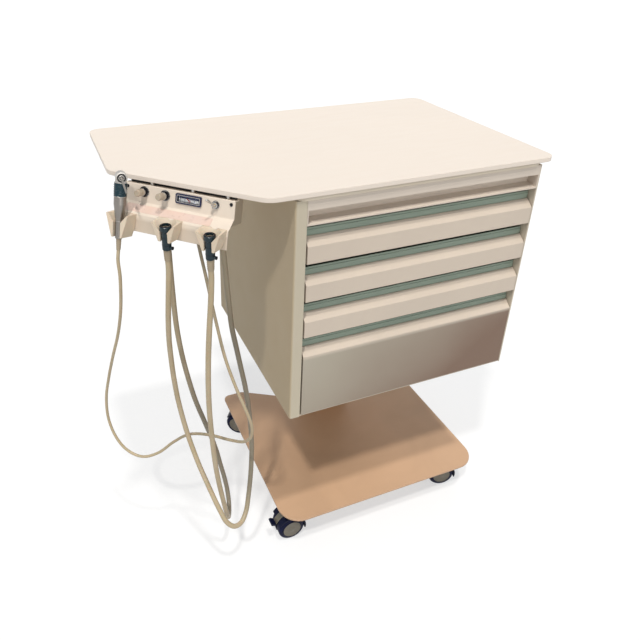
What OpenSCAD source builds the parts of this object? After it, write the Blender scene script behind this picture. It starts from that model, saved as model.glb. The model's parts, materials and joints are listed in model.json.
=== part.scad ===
// Portable dental unit: a drawer cabinet on a column and a wheeled base, with a
// worktop whose cut corner carries the delivery head, its holders and its hoses.
// Millimetres.  X runs to the right along the front, Y to the back, Z up.

/* [Worktop] */
// Thickness of the worktop
worktop_t = 8; // [6:0.5:12]
// How far the worktop reaches past the cabinet on its left
worktop_left_reach = 262; // [250:1:300]
// How far the worktop reaches past the cabinet on its right
worktop_right_reach = 27; // [15:1:40]
// How far the worktop reaches past the drawer fronts
worktop_front_reach = 4; // [4:0.5:10]
// How far the worktop reaches past the back panel
worktop_back_reach = 31; // [26:1:50]
// Leg of the 45 degree cut at the corner that carries the delivery head
corner_cut = 215; // [210:1:240]
// Radius of the three square corners of the worktop
worktop_corner_r = 22; // [10:1:30]
// Radius of the two corners at the ends of the cut
cut_corner_r = 42; // [20:1:50]
// Thickness of the plate that closes the top of the cabinet
top_plate_t = 6; // [4:0.5:10]

/* [Cabinet] */
// Width of the cabinet
cabinet_w = 500; // [470:1:540]
// Depth of the cabinet
cabinet_d = 430; // [410:1:480]
// Height of the rail above the finger niche
rail_h = 19; // [14:1:26]
// Height of the finger niche under the rail
niche_h = 27.5; // [24:0.5:34]
// Depth of the finger niche
niche_d = 24; // [18:1:30]
// Width of the stile at the left of the drawers
stile_w = 21; // [16:1:26]
// Thickness of the folded side panels
side_t = 3; // [2:0.5:4]
// Thickness of the bottom, back and header sheets
sheet_t = 2; // [1.2:0.2:3]

/* [Drawers] */
// Number of shallow drawers above the deep one
shallow_count = 3; // [2:1:3]
// Height of the space of one shallow drawer
shallow_pitch = 76; // [70:1:84]
// Height of the space of the deep drawer
deep_pitch = 179.5; // [150:0.5:200]
// Height of the finger recess above each drawer face
pull_h = 39; // [36:1:44]
// Depth of the slope that leads from the face into the recess
slope_d = 15; // [12:0.5:18]
// Height of that slope
slope_rise = 13; // [10:0.5:15]
// Gap under and beside each drawer face
face_gap = 3; // [2:0.5:4]
// Wall of the folded drawer front
front_t = 1.5; // [1:0.1:2]
// Wall of the drawer box
box_t = 1.4; // [1.2:0.1:2.5]
// Room between the drawer boxes and the back panel
box_back_gap = 26; // [20:1:60]
// Height of a runner channel
runner_h = 30; // [24:1:34]
// How far a drawer pulls out
drawer_travel = 290; // [200:5:300]

/* [Stand] */
// Clear height between the base plate and the cabinet
column_h = 300; // [240:1:340]
// Width of the column
column_w = 120; // [90:1:150]
// Depth of the column
column_d = 60; // [50:1:70]
// Wall of the column tube
column_wall = 3; // [2:0.5:4]
// Distance from the drawer fronts to the column's front face
column_y = 312; // [300:1:330]
// Thickness of the base plate
base_t = 4; // [3:0.5:6]
// Corner radius of the base plate
base_corner_r = 48; // [30:1:55]
// Depth of the notch in the back edge of the base plate
base_notch = 54; // [30:1:60]

/* [Casters] */
// Diameter of the wheels
wheel_d = 60; // [50:1:64]
// Width of one wheel
wheel_w = 18; // [14:0.5:20]
// Gap between the two wheels of a caster
wheel_gap = 8; // [7.5:0.5:10]
// Overall height of a caster
caster_h = 76; // [74:1:84]
// Distance from the swivel axis to the wheel axle
caster_trail = 22; // [18:1:26]
// Distance from the middle of the base to the swivel axes, sideways
caster_x = 203; // [180:1:210]
// Distance from the front of the base to the front swivel axes
caster_front = 46; // [46:1:60]
// Distance from the back of the base to the back swivel axes
caster_back = 62; // [50:1:70]

/* [Delivery head] */
// Width of the delivery head's panel
head_w = 209; // [200:1:230]
// How far the panel is set off to the left of the middle of the cut
head_offset = 11.5; // [0:0.5:20]
// Backward tilt of the panel
head_tilt = 13; // [8:1:16]
// Height of the control face
control_h = 31; // [28:1:40]
// How far the apron stands out in front of the control face
apron_step = 19; // [14:1:22]
// Height of the slope that leads to the apron
step_drop = 17; // [10:1:19]
// Height of the apron
apron_h = 30; // [26:1:36]
// Wall of the panel
panel_t = 2; // [1.6:0.1:3]
// Depth of the housing behind the panel
housing_d = 56; // [48:1:60]

/* [Instruments] */
// Width of a holder across its mouth
mouth_w = 43; // [38:0.5:46]
// Height of the two handpiece holders
holder_h = 32; // [28:1:36]
// Height of the syringe holder
syringe_holder_h = 40; // [32:1:42]
// Width of the slot in front of a holder
holder_slot = 14; // [12:0.5:15.5]
// Body radius of a handpiece coupler
coupler_r = 7.8; // [7:0.1:8.2]
// Length of a handpiece coupler
coupler_len = 44; // [38:1:50]
// Radius of the syringe's handle at its lower end
syringe_r = 6.5; // [6:0.1:7]
// Diameter of the syringe's hose
thin_hose_d = 6; // [5:0.5:7]
// Diameter of the two handpiece hoses
thick_hose_d = 10; // [8:0.5:11]

/* [Hidden] */
$fn = 48;
eps = 0.01;
joint_gap = 0.3;          // space between parts that move past each other
running = 0.05;           // radial clearance of an axle or a pin in its bore

// ---- heights, from the floor up
base_top = caster_h + base_t;
cabinet_bottom = base_top + column_h;
drawers_h = shallow_count * shallow_pitch + deep_pitch;
zone_top = cabinet_bottom + drawers_h;
cabinet_top = zone_top + niche_h + rail_h;
worktop_bottom = cabinet_top + top_plate_t;
worktop_top = worktop_bottom + worktop_t;
drawer_count = shallow_count + 1;

// ---- plan positions, measured from the middle of the cabinet's front
left = -cabinet_w / 2;
right = cabinet_w / 2;
worktop_left = left - worktop_left_reach;
worktop_right = right + worktop_right_reach;
worktop_front = -worktop_front_reach;
worktop_back = cabinet_d + worktop_back_reach;
opening_left = left + stile_w;
opening_right = right - side_t;
face_left = opening_left + face_gap;
face_right = opening_right - joint_gap * 4;
front_d = slope_d + 2;    // depth of a drawer front
stile_return = 16;        // how far the stile's edge folds back
stile_r = 5;              // outer fold of the stile
fold_r = 1.5;             // fold at the edges of a drawer face

// ---- runners
channel_t = 1.5;
channel_w = 9.5;
rail_play = 0.4;
box_d = cabinet_d - sheet_t - box_back_gap - front_d;
runner_len = box_d - 15;
channel_left = opening_left + 0.5;
channel_right = opening_right;
box_left = channel_left + channel_t + channel_w + 2.5;
box_right = channel_right - channel_t - channel_w - 2.5;
box_drop = 18.5;          // from the top of a drawer's space to its box's rim
box_lift = 8;             // from the bottom of a drawer's space to its box
post_w = 20;

// ---- delivery head: the middle of the cut edge, turned to face it
head_gap = 6;             // open slit between the worktop and the head
cut_mid = [worktop_left + corner_cut / 2, worktop_front + corner_cut / 2];
head_top = worktop_bottom - head_gap;
head_left = -head_offset - head_w / 2;
head_right = -head_offset + head_w / 2;
apron_top = -control_h - step_drop;
apron_bottom = apron_top - apron_h;
housing_inset = 12;
housing_h = 46;
housing_t = 2;
housing_left = head_left + housing_inset;
housing_right = head_right - housing_inset;

// ---- control face, from its top edge down
control_z = -12;
knob_x = [-77, -36];
toggle_x = 58.5;
gauge_x = 9;
gauge_w = 48;
gauge_h = 17;
nut_t = 5;
nut_r = 8.7;
toggle_nut_r = 6.2;
stem_r = 3;
knob_r = 6;
knob_len = 18;
knob_bore = 10;           // how far a stem reaches into its knob
toggle_r = 2.2;           // ball of the toggle lever
toggle_len = 20;
toggle_rise = 30;         // how far the lever points up
toggle_yaw = 20;          // and how far it leans to the left
toggle_ball = -nut_t - 0.5;
toggle_pin_r = 0.9;       // pin through the ball that the lever rocks on
bezel = 3.5;              // frame around the gauge's window
bezel_t = 3;              // how far the gauge stands out of the panel
dial_y = 3;               // front of the dial, behind the control face
needle_pin_r = 0.6;
needle_rest = 50;         // the needle leans this far to the left at rest
needle_z = control_z - gauge_h / 2 + 5.2;
screw_x = [head_left + 5.5, head_right - 7];
screw_z = -7;
screw_r = 1.8;
screw_head_r = 3;

// ---- holders and what hangs in them
holder_x = [-100, -12, 69];
holder_y = -apron_step - 17;
holder_lean = [0, head_tilt, head_tilt];    // how far each one is turned back upright
holder_reach = 8;         // from the holder's axis to its front
holder_rim = 1;           // height of the upright edge round its mouth
holder_wall = 3;
holder_play = 0.4;
funnel_h = 18;
holder_top = apron_top;
relief_len = 20;
ring_r = coupler_r + 2.2;
coupler_top = holder_top - 5;
coupler_bottom = coupler_top - coupler_len;
socket_r = 6;
socket_depth = 18;
syringe_bottom = holder_top - syringe_holder_h - 3;
syringe_neck = -60;
syringe_top = -18;
collar_h = 22;
collar_r = 10.8;
syringe_head_r = 9.5;
nozzle_turn = 40;         // how far the head's axis points to the right of straight out
nozzle_run = 14;          // from the middle of the head to the nozzle's bend
nozzle_r = 2;
tip_len = 34;
tip_turn = 52;            // how far the tip points to the right
tip_dip = 32;             // and down
button_r = 3.5;
button_travel = 2;

// ---- hose connectors under the housing
barb_x = [14, 63, -45];
barb_y = 26;
barb_len = 14;

// ---- casters
axle_z = wheel_d / 2;
axle_r = 4;
hub_r = 23.5;
hood_gap = 1.5;
hood_t = 2.5;
hood_r = axle_z + hood_gap + hood_t;
twin_w = 2 * wheel_w + wheel_gap;
web_w = wheel_gap - 1;
stem_pin_r = 5;
caster_plate_t = 3;
swivel_top = caster_h - caster_plate_t;
boss_top = swivel_top - 6;
stem_len = 10;            // how deep a swivel pin sits in its hood
base_depth = cabinet_d + 10;
caster_places = [
    [-caster_x, caster_front],
    [caster_x, caster_front],
    [-caster_x, base_depth - caster_back],
    [caster_x, base_depth - caster_back],
];
caster_turns = [0, -15, -40, -20];
brake_reach = wheel_d / 2 - 3;    // brake pivot, from the axle
brake_rise = 20;          // and above the horizontal
brake_root_r = 4;
brake_root_w = 3;
brake_pin_r = 1.5;
brake_swing = 18;

// ---- the part's own origin: on the floor, under the middle of its outline
// (its left end is the mouth of the left holder)
outline_left = holder_point(0, [-mouth_w / 2, -holder_reach, holder_top - holder_rim]).x;
origin = [-(outline_left + worktop_right) / 2, -(worktop_front + worktop_back) / 2, 0];

// ---------------------------------------------------------------- helpers

function unit(v) = v / norm(v);

// Points of the arc that rounds corner b between neighbours a and c
function corner_arc(a, b, c, r, steps = 8) =
    r <= 0 ? [b] :
    let (
        u = unit(a - b),
        v = unit(c - b),
        half = acos(u * v) / 2,
        centre = b + unit(u + v) * r / sin(half),
        start = b + u * r / tan(half) - centre,
        finish = b + v * r / tan(half) - centre,
        from = atan2(start.y, start.x),
        turn = atan2(start.x * finish.y - start.y * finish.x, start * finish)
    )
    [for (i = [0:steps]) centre + r * [cos(from + turn * i / steps), sin(from + turn * i / steps)]];

// Outline through corners given as [x, y, radius]
function rounded(corners) =
    let (n = len(corners), p = [for (c = corners) [c.x, c.y]])
    [for (i = [0:n - 1]) each corner_arc(p[(i + n - 1) % n], p[i], p[(i + 1) % n], corners[i].z)];

// Plate with rounded corners between two heights
module slab(corners, z0, z1) {
    translate([0, 0, z0])
        linear_extrude(height = z1 - z0)
            polygon(rounded(corners));
}

// A profile drawn in Y and Z, run along X from x0 to x1
module along_x(x0, x1) {
    translate([x0, 0, 0])
        rotate([90, 0, 90])
            linear_extrude(height = x1 - x0)
                children();
}

module box_between(low, high) {
    translate(low)
        cube(high - low);
}

module from_origin() {
    translate(origin)
        children();
}

// ---------------------------------------------------------------- worktop

module worktop() {
    from_origin()
        color("antiquewhite")
            slab([
                [worktop_left + corner_cut, worktop_front, cut_corner_r],
                [worktop_right, worktop_front, worktop_corner_r],
                [worktop_right, worktop_back, worktop_corner_r],
                [worktop_left, worktop_back, worktop_corner_r],
                [worktop_left, worktop_front + corner_cut, cut_corner_r * 0.7],
            ], worktop_bottom, worktop_top);
}

// Folded tray, open below, whose hem lies on the cabinet's walls
module top_plate() {
    corner_r = 20;
    reach = 1;
    hem = 12;
    from_origin()
        color("linen")
            difference() {
                slab([
                    [left, worktop_front + reach, corner_r],
                    [right, worktop_front + reach, corner_r],
                    [right, cabinet_d, 2],
                    [left, cabinet_d, 2],
                ], cabinet_top, worktop_bottom);
                slab([
                    [left + hem, worktop_front + reach + hem, corner_r - hem],
                    [right - hem, worktop_front + reach + hem, corner_r - hem],
                    [right - hem, cabinet_d - hem, 1],
                    [left + hem, cabinet_d - hem, 1],
                ], cabinet_top - 1, worktop_bottom - sheet_t);
            }
}

// ---------------------------------------------------------------- cabinet

module side_panel_left() {
    inner_r = stile_r - sheet_t;
    from_origin()
        color("tan")
            translate([0, 0, cabinet_bottom])
                linear_extrude(height = cabinet_top - cabinet_bottom)
                    polygon(rounded([
                        [left, cabinet_d, 0],
                        [left, 0, stile_r],
                        [opening_left, 0, 1],
                        [opening_left, stile_return, 0],
                        [opening_left - sheet_t, stile_return, 0],
                        [opening_left - sheet_t, sheet_t, 0],
                        [left + side_t, sheet_t, inner_r],
                        [left + side_t, cabinet_d, 0],
                    ]));
}

module side_panel_right() {
    from_origin()
        color("tan")
            slab([
                [opening_right, 0, 1],
                [right, 0, 1.5],
                [right, cabinet_d, 0],
                [opening_right, cabinet_d, 0],
            ], cabinet_bottom, cabinet_top);
}

module bottom_panel() {
    from_origin()
        color("burlywood")
            slab([
                [opening_left, sheet_t, 0],
                [opening_right, sheet_t, 0],
                [opening_right, cabinet_d, 0],
                [left + side_t, cabinet_d, 0],
                [left + side_t, stile_return, 0],
                [opening_left, stile_return, 0],
            ], cabinet_bottom, cabinet_bottom + sheet_t);
}

module back_panel() {
    vent_w = 60;
    vent_h = 4;
    from_origin()
        color("burlywood")
            difference() {
                box_between(
                    [left + side_t, cabinet_d - sheet_t, cabinet_bottom + sheet_t],
                    [opening_right, cabinet_d, cabinet_top]
                );
                for (row = [0:3], side = [-1, 1])
                    translate([side * cabinet_w / 4 - vent_w / 2, cabinet_d - sheet_t - 1,
                               cabinet_top - 70 - row * 14])
                        cube([vent_w, sheet_t + 2, vent_h]);
            }
}

// Rail and finger niche, folded from one sheet and closed at both ends
module header_panel() {
    lip = 2.5;
    floor_rise = 4;
    niche_top = cabinet_top - rail_h;
    from_origin()
        color("tan")
            difference() {
                along_x(opening_left, opening_right)
                    polygon([
                        [0, zone_top],
                        [niche_d + sheet_t, zone_top + lip + floor_rise - sheet_t],
                        [niche_d + sheet_t, niche_top + sheet_t],
                        [sheet_t, niche_top + sheet_t],
                        [sheet_t, cabinet_top],
                        [0, cabinet_top],
                    ]);
                along_x(opening_left + sheet_t, opening_right - sheet_t)
                    polygon([
                        [-1, zone_top + lip],
                        [0, zone_top + lip],
                        [niche_d, zone_top + lip + floor_rise],
                        [niche_d, niche_top],
                        [-1, niche_top],
                    ]);
            }
}

// ---------------------------------------------------------------- drawers

function zone_bottom(i) =
    i < shallow_count ? zone_top - (i + 1) * shallow_pitch : cabinet_bottom;
function zone_head(i) = zone_top - i * shallow_pitch;
function face_top(i) = zone_head(i) - pull_h;
function face_bottom(i) = zone_bottom(i) + face_gap;
function runner_z(i) = zone_bottom(i) + box_lift + 4;

// Folded sheet front: a flat face, the slope of the finger pull and closed ends
module drawer_front(i) {
    z0 = face_bottom(i);
    z1 = face_top(i);
    slope_len = norm([slope_d, slope_rise]);
    grade = slope_rise / slope_d;
    // where the inside of the slope meets the inside of the face and of its top edge
    drop = front_t * slope_len / slope_d;
    inner_start = z1 - drop + front_t * grade;
    inner_top = z1 + slope_rise - front_t;
    inner_end = (slope_rise - front_t + drop) / grade;
    from_origin()
        color("bisque")
            difference() {
                along_x(face_left, face_right)
                    polygon(rounded([
                        [0, z0, fold_r],
                        [front_d, z0, 0],
                        [front_d, z1 + slope_rise, 0],
                        [slope_d, z1 + slope_rise, 0],
                        [0, z1, fold_r],
                    ]));
                along_x(face_left + front_t, face_right - front_t)
                    polygon([
                        [front_t, z0 + front_t],
                        [front_d + 1, z0 + front_t],
                        [front_d + 1, inner_top],
                        [inner_end, inner_top],
                        [front_t, inner_start],
                    ]);
            }
}

// Open box with a wide front wall that shows above the pull, and its two slide rails
module drawer_box(i) {
    z0 = zone_bottom(i) + box_lift;
    z1 = zone_head(i) - box_drop;
    y0 = front_d;
    rail_z = runner_z(i) + channel_t + rail_play;
    rail_h_inner = runner_h - 2 * (channel_t + rail_play);
    rail_y = y0 + box_t;
    reach = channel_w + 2;
    from_origin()
        color("darkseagreen")
            union() {
                difference() {
                    box_between([box_left, y0, z0], [box_right, y0 + box_d, z1]);
                    box_between(
                        [box_left + box_t, y0 + box_t, z0 + box_t],
                        [box_right - box_t, y0 + box_d - box_t, z1 + 1]
                    );
                }
                box_between([face_left, y0, z0], [face_right, y0 + box_t, z1]);
                box_between(
                    [box_left - reach, rail_y, rail_z],
                    [box_left + box_t, rail_y + runner_len, rail_z + rail_h_inner]
                );
                box_between(
                    [box_right - box_t, rail_y, rail_z],
                    [box_right + reach, rail_y + runner_len, rail_z + rail_h_inner]
                );
            }
}

// C-section channel, open towards the drawer; side is 1 on the left, -1 on the right
module runner_channel(x, z, side) {
    y0 = front_d + box_t + 3;
    mirror([side < 0 ? 1 : 0, 0, 0])
        translate([side * x, y0, z])
            difference() {
                cube([channel_t + channel_w, runner_len, runner_h]);
                translate([channel_t, -1, channel_t])
                    cube([channel_w + 1, runner_len + 2, runner_h - 2 * channel_t]);
            }
}

module runner_channels() {
    from_origin()
        color("silver")
            for (i = [0:drawer_count - 1]) {
                runner_channel(channel_left, runner_z(i), 1);
                runner_channel(channel_right, runner_z(i), -1);
            }
}

// Upright bars that carry the left channels clear of the stile
module runner_posts() {
    from_origin()
        color("lightgray")
            for (y = [front_d + 12, cabinet_d - 60])
                box_between(
                    [left + side_t, y, cabinet_bottom + sheet_t],
                    [channel_left, y + post_w, zone_top]
                );
}

// ---------------------------------------------------------------- stand

module base_plate() {
    notch_half = 105;
    notch_run = 92;
    from_origin()
        color("burlywood")
            slab([
                [left, 0, base_corner_r],
                [right, 0, base_corner_r],
                [right, base_depth, 16],
                [notch_half + notch_run, base_depth, 20],
                [notch_half, base_depth - base_notch, 20],
                [-notch_half, base_depth - base_notch, 20],
                [-notch_half - notch_run, base_depth, 20],
                [left, base_depth, 16],
            ], caster_h, base_top);
}

// Rectangular tube welded between a foot and a head flange
module column() {
    flange_t = 5;
    flange = 9;
    x = column_w / 2;
    y0 = column_y;
    y1 = column_y + column_d;
    from_origin()
        color("tan")
            difference() {
                union() {
                    slab([[-x, y0, 8], [x, y0, 8], [x, y1, 8], [-x, y1, 8]], base_top, cabinet_bottom);
                    for (z = [base_top, cabinet_bottom - flange_t])
                        slab([
                            [-x - flange, y0, 6],
                            [x + flange, y0, 6],
                            [x + flange, y1, 6],
                            [-x - flange, y1, 6],
                        ], z, z + flange_t);
                }
                slab([
                    [-x + column_wall, y0 + column_wall, 5],
                    [x - column_wall, y0 + column_wall, 5],
                    [x - column_wall, y1 - column_wall, 5],
                    [-x + column_wall, y1 - column_wall, 5],
                ], base_top - 1, cabinet_bottom + 1);
            }
}

// ---------------------------------------------------------------- casters

module at_caster(i) {
    from_origin()
        translate([caster_places[i].x, caster_places[i].y, 0])
            rotate([0, 0, caster_turns[i]])
                children();
}

// Shape turned about the wheel axle, which runs along Y behind the swivel axis
module on_axle() {
    translate([-caster_trail, 0, axle_z])
        rotate([90, 0, 0])
            children();
}

module caster_plates() {
    plate = 54;
    color("dimgray")
        for (i = [0:3])
            at_caster(i)
                rotate([0, 0, -caster_turns[i]]) {
                    translate([-plate / 2, -plate / 2, swivel_top])
                        cube([plate, plate, caster_plate_t]);
                    translate([0, 0, boss_top + joint_gap])
                        cylinder(r = 15, h = swivel_top - boss_top - joint_gap + eps);
                    translate([0, 0, boss_top - stem_len])
                        cylinder(r = stem_pin_r, h = stem_len + 1);
                }
}

// Hood: a web between the wheels, a cover over them, the swivel boss and the axle
module caster_hood(i) {
    cover_w = twin_w + 1;
    at_caster(i)
        color("darkslategray")
            difference() {
                union() {
                    difference() {
                        on_axle()
                            cylinder(r = hood_r, h = cover_w, center = true);
                        on_axle()
                            cylinder(r = hood_r - hood_t, h = cover_w + 2, center = true);
                        // open below a plane that slopes down towards the swivel side
                        translate([-caster_trail, 0, axle_z])
                            rotate([0, 24, 0])
                                translate([-60, -60, -110])
                                    cube([120, 120, 116]);
                    }
                    intersection() {
                        on_axle()
                            cylinder(r = hood_r - hood_t + eps, h = web_w, center = true);
                        translate([-80, -40, axle_z - 12])
                            cube([120, 80, 60]);
                    }
                    translate([0, 0, boss_top - 30])
                        cylinder(r = 11, h = 30);
                    on_axle()
                        cylinder(r = axle_r, h = twin_w - 4, center = true);
                }
                translate([0, 0, boss_top - stem_len - joint_gap])
                    cylinder(r = stem_pin_r + running, h = stem_len + 10);
                wheel_space();
                if (i < 2)
                    brake_slot();
            }
    if (i < 2)
        at_caster(i)
            color("darkslategray")
                at_brake()
                    rotate([90, 0, 0])
                        cylinder(r = brake_pin_r, h = web_w - 1, center = true, $fn = 32);
}

// Pivot of a brake lever, with -x pointing away from the axle
module at_brake() {
    translate([-caster_trail, 0, axle_z])
        rotate([0, brake_rise, 0])
            translate([-brake_reach, 0, 0])
                children();
}

// Slot in the web that the lever's root swings in
module brake_slot() {
    slot_w = brake_root_w + 2 * joint_gap;
    at_brake() {
        rotate([90, 0, 0])
            cylinder(r = brake_root_r + joint_gap, h = slot_w, center = true);
        translate([-12, -slot_w / 2, -brake_root_r - 2])
            cube([12, slot_w, brake_root_r + 2 + 2.5]);
    }
}

// Room that the two wheels turn in
module wheel_space() {
    for (side = [-1, 1])
        translate([-caster_trail, side * (wheel_gap / 2 + wheel_w / 2), axle_z])
            rotate([90, 0, 0])
                difference() {
                    cylinder(r = axle_z + hood_gap, h = wheel_w + 2 * joint_gap, center = true);
                    cylinder(r = axle_r, h = wheel_w + 4, center = true);
                }
}

// Two wheels, each a rounded tyre with a shallow hub disc let into its outer face
module caster_wheels(i) {
    edge = 5;
    seat = 1.5;
    at_caster(i)
        for (side = [-1, 1])
            translate([-caster_trail, side * wheel_gap / 2, axle_z])
                rotate([-90 * side, 0, 0]) {
                    color("black")
                        rotate_extrude($fn = 96)
                            polygon(rounded([
                                [axle_r + running, 0, 0],
                                [axle_z, 0, 2],
                                [axle_z, wheel_w, edge],
                                [hub_r + 0.5, wheel_w, 0],
                                [hub_r, wheel_w - seat, 0],
                                [axle_r + running, wheel_w - seat, 0],
                            ]));
                    color("gray")
                        translate([0, 0, wheel_w - seat])
                            cylinder(r1 = hub_r, r2 = hub_r - 1, h = seat + 0.5, $fn = 96);
                }
}

// Foot lever at the trailing side of a front caster, hinged in the hood's web
module caster_brake(i) {
    arm_t = 4;
    pedal_w = 18;
    at_caster(i)
        color("black")
            at_brake()
                difference() {
                    union() {
                        rotate([90, 0, 0])
                            cylinder(r = brake_root_r, h = brake_root_w, center = true);
                        translate([-14, -brake_root_w / 2, -arm_t / 2])
                            cube([14, brake_root_w, arm_t]);
                        rotate([90, 0, 0])
                            translate([0, 0, -pedal_w / 2])
                                linear_extrude(height = pedal_w)
                                    polygon(rounded([
                                        [-9, -2, 0.8],
                                        [-9, 2, 0.8],
                                        [-18, 3.5, 1.5],
                                        [-21, 0, 1.5],
                                        [-18, -2, 1],
                                    ]));
                    }
                    rotate([90, 0, 0])
                        cylinder(r = brake_pin_r + running, h = 10, center = true, $fn = 32);
                }
}

// ---------------------------------------------------------------- delivery head

module at_head() {
    from_origin()
        translate([cut_mid.x, cut_mid.y, head_top])
            rotate([0, 0, -45])
                rotate([-head_tilt, 0, 0])
                    children();
}

module at_holder(k) {
    at_head()
        translate([holder_x[k], holder_y, holder_top])
            rotate([holder_lean[k], 0, 0])
                translate([0, 0, -holder_top])
                    children();
}

// Something round that stands out of the control face
module on_face(x, z) {
    translate([x, 0, z])
        rotate([90, 0, 0])
            children();
}

// Folded panel: control face, sloped step and apron, with a flange along its top
module head_panel() {
    fold = 2.5;
    flange = 14;
    shift = panel_t * (norm([apron_step, step_drop]) - step_drop) / apron_step;
    at_head()
        color("antiquewhite")
            difference() {
                along_x(head_left, head_right)
                    polygon(rounded([
                        [0, 0, 1.5],
                        [0, -control_h, fold],
                        [-apron_step, apron_top, fold],
                        [-apron_step, apron_bottom, 0.5],
                        [-apron_step + panel_t, apron_bottom, 0],
                        [-apron_step + panel_t, apron_top + shift, 1],
                        [panel_t, -control_h + shift, 1],
                        [panel_t, -panel_t, 0],
                        [flange, -panel_t, 0],
                        [flange, 0, 0],
                    ]));
                for (x = knob_x)
                    on_face(x, control_z)
                        cylinder(r = stem_r + 1.5, h = 20, center = true);
                on_face(toggle_x, control_z)
                    cylinder(r = stem_r + 1.5, h = 20, center = true);
                in_gauge(2, -5, 5);
                for (x = screw_x)
                    on_face(x, screw_z)
                        cylinder(r = screw_r, h = 20, center = true);
            }
}

// Box behind the panel that holds the valves and carries the hose connectors
module head_housing() {
    at_head()
        color("wheat")
            difference() {
                box_between(
                    [housing_left, panel_t, -panel_t - housing_h],
                    [housing_right, housing_d, -panel_t]
                );
                box_between(
                    [housing_left + housing_t, panel_t - 1, -panel_t - housing_h + housing_t],
                    [housing_right - housing_t, housing_d - housing_t, -panel_t - housing_t]
                );
                for (x = barb_x)
                    translate([x, barb_y, -panel_t - housing_h - 1])
                        cylinder(r = 4, h = housing_t + 2);
            }
}

// Round spacers between the worktop's underside and the panel's flange
module head_spacers() {
    spacer_r = 3.5;
    color("silver")
        difference() {
            from_origin()
                translate([cut_mid.x, cut_mid.y, 0])
                    rotate([0, 0, -45])
                        for (x = [head_left + 50, -head_offset + 24, head_right - 16])
                            translate([x, spacer_r + 3, head_top - 8])
                                cylinder(r = spacer_r, h = head_gap + 8);
            at_head()
                box_between([head_left, -20, -60], [head_right, 60, 0]);
        }
}

module panel_screws() {
    at_head()
        color("dimgray")
            for (x = screw_x)
                on_face(x, screw_z) {
                    translate([0, 0, -8])
                        cylinder(r = screw_r - running, h = 8);
                    cylinder(r1 = screw_head_r, r2 = screw_head_r - 1, h = 1.8);
                }
}

module valve_nuts() {
    at_head()
        color("darkslategray")
            for (p = [[knob_x[0], nut_r], [knob_x[1], nut_r], [toggle_x, toggle_nut_r]])
                on_face(p.x, control_z)
                    difference() {
                        cylinder(r = p.y, h = nut_t, $fn = 6);
                        translate([0, 0, -1])
                            cylinder(r = stem_r + running, h = nut_t + 2, $fn = 32);
                    }
}

// Valve bodies behind the face, with their stems
module valve_block() {
    block_d = 22;
    block_w = 22;
    at_head()
        color("goldenrod")
            difference() {
                for (p = [[knob_x[0], knob_bore], [knob_x[1], knob_bore], [toggle_x, 0.5]]) {
                    box_between(
                        [p.x - block_w / 2, panel_t, control_z - 9],
                        [p.x + block_w / 2, panel_t + block_d, -panel_t - housing_t]
                    );
                    on_face(p.x, control_z)
                        translate([0, 0, -panel_t - 1])
                            cylinder(r = stem_r, h = nut_t + p.y + panel_t + 1);
                }
                translate([toggle_x, toggle_ball, control_z]) {
                    sphere(r = toggle_r + 0.2);
                    rotate([0, 90, 0])
                        cylinder(r = toggle_pin_r + running, h = 2 * stem_r + 1, center = true, $fn = 24);
                }
            }
}

// Ribbed knob of a needle valve, on its stem
module knob(x) {
    ribs = 16;
    rib_r = 0.7;
    at_head()
        on_face(x, control_z)
            color("navajowhite")
                translate([0, 0, nut_t + joint_gap])
                    difference() {
                        union() {
                            cylinder(r = knob_r - 1, h = 3);
                            translate([0, 0, 3])
                                cylinder(r = knob_r, h = knob_len - 5);
                            translate([0, 0, knob_len - 2])
                                cylinder(r1 = knob_r, r2 = knob_r - 1, h = 2);
                        }
                        translate([0, 0, -1])
                            cylinder(r = stem_r + running, h = knob_bore + 1);
                        for (a = [0:ribs - 1])
                            rotate([0, 0, a * 360 / ribs])
                                translate([knob_r + 0.2, 0, 5])
                                    cylinder(r = rib_r, h = knob_len - 8, $fn = 16);
                    }
}

module knob_air() {
    knob(knob_x[0]);
}

module knob_water() {
    knob(knob_x[1]);
}

// Bat lever of the main switch: its ball sits in the end of its stem
module toggle_lever() {
    at_head()
        color("silver")
            translate([toggle_x, toggle_ball, control_z]) {
                sphere(r = toggle_r);
                rotate([0, 90, 0])
                    cylinder(r = toggle_pin_r, h = 2 * stem_r, center = true, $fn = 24);
                rotate([0, 0, -toggle_yaw])
                    rotate([90 - toggle_rise, 0, 0]) {
                        cylinder(r1 = toggle_r * 0.6, r2 = toggle_r, h = toggle_len);
                        translate([0, 0, toggle_len])
                            sphere(r = toggle_r);
                    }
            }
}

// Block inside the gauge's outline, drawn in by a margin, between two depths
module in_gauge(margin, y0, y1) {
    box_between(
        [gauge_x - gauge_w / 2 + margin, y0, control_z - gauge_h / 2 + margin],
        [gauge_x + gauge_w / 2 - margin, y1, control_z + gauge_h / 2 - margin]
    );
}

module gauge_case() {
    body_d = 14;
    corner_r = 3;
    x0 = gauge_x - gauge_w / 2;
    x1 = gauge_x + gauge_w / 2;
    z0 = control_z - gauge_h / 2;
    z1 = control_z + gauge_h / 2;
    at_head()
        color("midnightblue")
            difference() {
                union() {
                    rotate([90, 0, 0])
                        slab([[x0, z0, corner_r], [x1, z0, corner_r], [x1, z1, corner_r], [x0, z1, corner_r]],
                            0, bezel_t);
                    in_gauge(2 + joint_gap, -1, body_d);
                }
                in_gauge(bezel, -bezel_t - 1, dial_y + 1);
            }
}

// White dial with the pin that the needle turns on
module gauge_dial() {
    at_head()
        color("white") {
            in_gauge(bezel, dial_y, dial_y + 1);
            on_face(gauge_x, needle_z)
                translate([0, 0, -dial_y - eps])
                    cylinder(r = needle_pin_r, h = 1.6, $fn = 24);
        }
}

module gauge_lens() {
    at_head()
        color([0.85, 0.9, 0.92, 0.4])
            in_gauge(bezel, -bezel_t + 0.6, -bezel_t + 1.6);
}

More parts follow.
